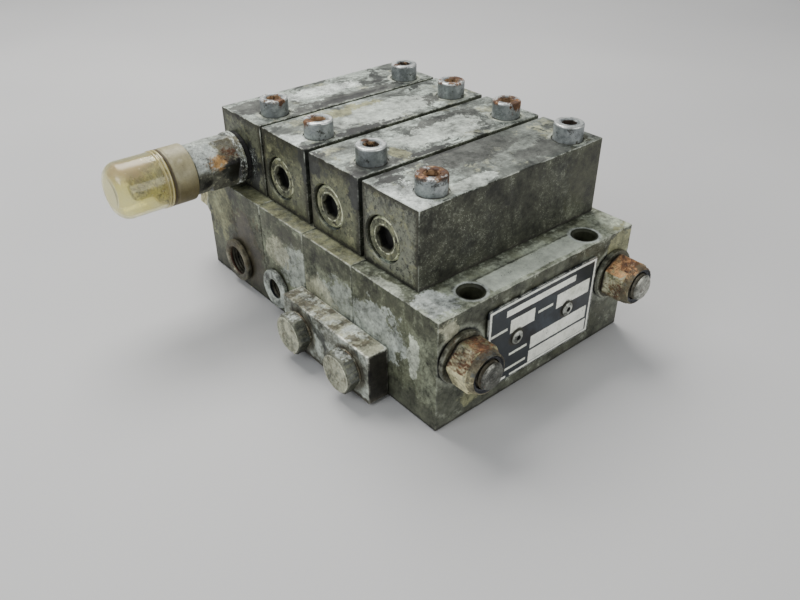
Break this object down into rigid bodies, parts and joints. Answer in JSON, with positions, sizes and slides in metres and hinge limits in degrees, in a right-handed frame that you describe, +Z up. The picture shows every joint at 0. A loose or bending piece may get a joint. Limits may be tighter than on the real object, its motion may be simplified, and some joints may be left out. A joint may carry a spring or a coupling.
{
  "type": "hydraulic valve bank",
  "caption": "Hydraulic valve bank: base sections clamped by tie rods, a screwed-down valve block on each, side ports with a link bar, and a capped adjustable relief cartridge.",
  "frame": {"origin": "on the underside of the base, midway between its two front fixing holes", "axes": "+X from the port face to the opposite side, +Y from the nameplate face to the rear, +Z up from the underside to the valve blocks"},
  "size_m": [0.1724, 0.2096, 0.0954],
  "materials": {
    "base_zinc": "zinc-plated steel, dulled and oil-stained",
    "block_zinc": "zinc-plated steel, mottled with white oxide",
    "screw_zinc": "blue-grey zinc-plated steel with pale worn rims",
    "plug_steel": "oily dark zinc-plated steel",
    "bar_steel": "pale corroded zinc-plated steel with brown stains",
    "bolt_steel": "cream speckled zinc-plated steel",
    "rod_steel": "bright machined steel",
    "rusty_steel": "zinc-plated steel with patches of rust",
    "washer_steel": "dull dark steel",
    "seat_steel": "bright turned steel",
    "cartridge_zinc": "zinc-plated steel with white corrosion and rust spots",
    "bright_steel": "ground and polished steel",
    "spring_steel": "spring wire",
    "copper": "annealed copper sealing ring",
    "seal_rubber": "black nitrile rubber",
    "collar_plastic": "taupe moulded plastic",
    "clear_plastic": "translucent yellowed plastic",
    "plate_print": "dark printed sheet with a pale border",
    "rivet_aluminium": "dull aluminium blind rivet"
  },
  "bodies": {
    "valve": {"base_section_1": "base_zinc", "base_section_2": "base_zinc", "base_section_3": "base_zinc", "base_section_4": "base_zinc", "valve_block_1": "block_zinc", "valve_block_2": "block_zinc", "valve_block_3": "block_zinc", "valve_block_4": "block_zinc", "cap_screw_1_left": "screw_zinc", "cap_screw_1_right": "screw_zinc", "cap_screw_2_left": "screw_zinc", "cap_screw_2_right": "screw_zinc", "cap_screw_3_left": "screw_zinc", "cap_screw_3_right": "screw_zinc", "cap_screw_4_left": "screw_zinc", "cap_screw_4_right": "screw_zinc", "bore_plug_1": "plug_steel", "bore_plug_2": "plug_steel", "bore_plug_3": "plug_steel", "spool_spring_1": "spring_steel", "spool_spring_2": "spring_steel", "spool_spring_3": "spring_steel", "relief_spring": "spring_steel", "tie_rod_left": "rod_steel", "tie_rod_right": "rod_steel", "tie_nut_front_left": "rusty_steel", "tie_nut_front_right": "rusty_steel", "tie_nut_rear_left": "rusty_steel", "tie_nut_rear_right": "rusty_steel", "tie_washer_front_left": "washer_steel", "tie_washer_front_right": "washer_steel", "tie_washer_rear_left": "washer_steel", "tie_washer_rear_right": "washer_steel", "link_bar": "bar_steel", "hollow_bolt_1": "bolt_steel", "hollow_bolt_2": "bolt_steel", "bolt_seal_outer_1": "copper", "bolt_seal_outer_2": "copper", "bolt_seal_inner_1": "copper", "bolt_seal_inner_2": "copper", "port_seat_3": "seat_steel", "port_seat_4": "seat_steel", "cartridge_body": "cartridge_zinc", "section_seal_2": "seal_rubber", "section_seal_3": "seal_rubber", "section_seal_4": "seal_rubber", "cartridge_seal": "seal_rubber", "cap_collar": "collar_plastic", "nameplate": "plate_print", "plate_rivet_left": "rivet_aluminium", "plate_rivet_right": "rivet_aluminium"},
    "spool_1": {"spool_1": "bright_steel"},
    "spool_2": {"spool_2": "bright_steel"},
    "spool_3": {"spool_3": "bright_steel"},
    "poppet": {"relief_poppet": "bright_steel"},
    "seat": {"spring_seat": "bright_steel"},
    "adjuster": {"adjusting_screw": "rusty_steel"},
    "lock": {"lock_nut": "plug_steel"},
    "cap": {"clear_cap": "clear_plastic"}
  },
  "joints": [
    {"name": "spool_1_travel", "type": "slide", "parent": "valve", "child": "spool_1", "axis": [1, 0, 0], "range_m": [0, 0.006], "stiffness_N_per_m": 2000, "springref_m": -0.004, "deforming": ["spool_spring_1"]},
    {"name": "spool_2_travel", "type": "slide", "parent": "valve", "child": "spool_2", "axis": [1, 0, 0], "range_m": [0, 0.006], "stiffness_N_per_m": 2000, "springref_m": -0.004, "deforming": ["spool_spring_2"]},
    {"name": "spool_3_travel", "type": "slide", "parent": "valve", "child": "spool_3", "axis": [1, 0, 0], "range_m": [0, 0.006], "stiffness_N_per_m": 2000, "springref_m": -0.004, "deforming": ["spool_spring_3"]},
    {"name": "relief_lift", "type": "slide", "parent": "valve", "child": "poppet", "axis": [-1, 0, 0], "range_m": [0, 0.002], "stiffness_N_per_m": 4000, "springref_m": -0.003, "deforming": ["relief_spring"]},
    {"name": "adjuster_travel", "type": "slide", "parent": "valve", "child": "seat", "axis": [1, 0, 0], "range_m": [0, 0.003], "deforming": ["relief_spring"]},
    {"name": "adjusting_screw_turn", "type": "hinge", "parent": "seat", "child": "adjuster", "pos_m": [-0.05775, 0.1401, 0.0672], "axis": [1, 0, 0], "range_deg": [0, 720]},
    {"name": "lock_nut_turn", "type": "hinge", "parent": "valve", "child": "lock", "pos_m": [-0.05775, 0.1401, 0.0672], "axis": [-1, 0, 0], "range_deg": [0, 90]},
    {"name": "cap_pull", "type": "slide", "parent": "valve", "child": "cap", "axis": [-1, 0, 0], "range_m": [0, 0.03]}
  ],
  "couplings": [
    {"joint": "adjusting_screw_turn", "follows": "adjuster_travel", "rad_per_m": 4188.8}
  ]
}
